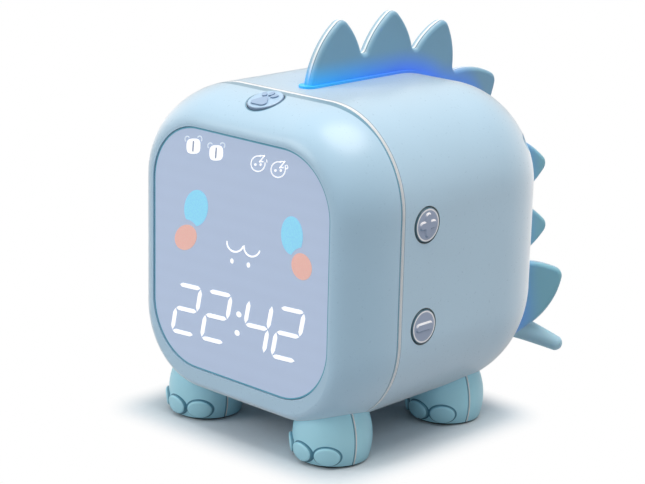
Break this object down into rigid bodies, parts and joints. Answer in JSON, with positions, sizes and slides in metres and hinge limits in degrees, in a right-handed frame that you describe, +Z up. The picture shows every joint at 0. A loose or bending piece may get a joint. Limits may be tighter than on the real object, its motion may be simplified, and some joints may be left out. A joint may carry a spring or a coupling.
{
  "type": "digital alarm clock",
  "caption": "Dinosaur-shaped digital alarm clock: rounded body with a lit front display, push buttons, soft glowing spikes, a curled tail and stub feet.",
  "frame": {"origin": "middle of the footprint's bounding box, on the floor", "axes": "+Z up, front with the display towards -Y, +X to the right of someone who looks at the display"},
  "size_m": [0.0914, 0.1194, 0.1175],
  "materials": {
    "shell": "satin",
    "button": "satin",
    "window": "polished",
    "diffuser": "matte",
    "mask": "matte",
    "silicone": "translucent",
    "tail": "matte",
    "foot": "satin",
    "pad": "matte",
    "board": "satin",
    "chip": "matte",
    "led": "clear",
    "switch": "brushed",
    "plunger": "smooth",
    "steel": "zinc plated",
    "cell": "foil",
    "cradle": "matte",
    "foam": "matte",
    "cone": "matte",
    "magnet": "plated",
    "socket": "brushed"
  },
  "bodies": {
    "clock_body": {"back_spikes": "silicone", "battery_cell": "cell", "battery_cradle": "cradle", "board_screws": "steel", "charging_socket": "socket", "crest": "silicone", "crest_leds": "led", "crest_light_board": "board", "diffuser_sheet": "diffuser", "display_board": "board", "display_leds": "led", "display_mask": "mask", "display_window": "window", "foot_screws": "steel", "front_left_heel": "foot", "front_left_pad": "pad", "front_left_toes": "foot", "front_right_heel": "foot", "front_right_pad": "pad", "front_right_toes": "foot", "front_shell": "shell", "left_switch_board": "board", "left_switches": "switch", "main_board": "board", "main_chips": "chip", "paw_switch": "switch", "paw_switch_board": "board", "rear_left_heel": "foot", "rear_left_pad": "pad", "rear_left_toes": "foot", "rear_right_heel": "foot", "rear_right_pad": "pad", "rear_right_toes": "foot", "rear_shell": "shell", "right_switch_board": "board", "right_switches": "switch", "shell_screws": "steel", "speaker_basket": "steel", "speaker_cone": "cone", "speaker_gasket": "foam", "speaker_magnet": "magnet", "tail": "tail", "tail_screw": "steel", "tail_spike": "silicone"},
    "alarm": {"alarm_button": "button", "alarm_plunger": "plunger"},
    "clock": {"clock_button": "button", "clock_plunger": "plunger"},
    "minus": {"minus_button": "button", "minus_plunger": "plunger"},
    "paw": {"paw_button": "button", "paw_plunger": "plunger"},
    "plus": {"plus_button": "button", "plus_plunger": "plunger"}
  },
  "joints": [
    {"name": "alarm_press", "type": "slide", "parent": "clock_body", "child": "alarm", "axis": [1, 0, 0], "range_m": [0, 0.0006], "stiffness_N_per_m": 1000},
    {"name": "clock_press", "type": "slide", "parent": "clock_body", "child": "clock", "axis": [1, 0, 0], "range_m": [0, 0.0006], "stiffness_N_per_m": 1000},
    {"name": "minus_press", "type": "slide", "parent": "clock_body", "child": "minus", "axis": [-1, 0, 0], "range_m": [0, 0.0006], "stiffness_N_per_m": 1000},
    {"name": "paw_press", "type": "slide", "parent": "clock_body", "child": "paw", "axis": [0, 0.3166, -0.9486], "range_m": [0, 0.0006], "stiffness_N_per_m": 1000},
    {"name": "plus_press", "type": "slide", "parent": "clock_body", "child": "plus", "axis": [-1, 0, 0], "range_m": [0, 0.0006], "stiffness_N_per_m": 1000}
  ]
}
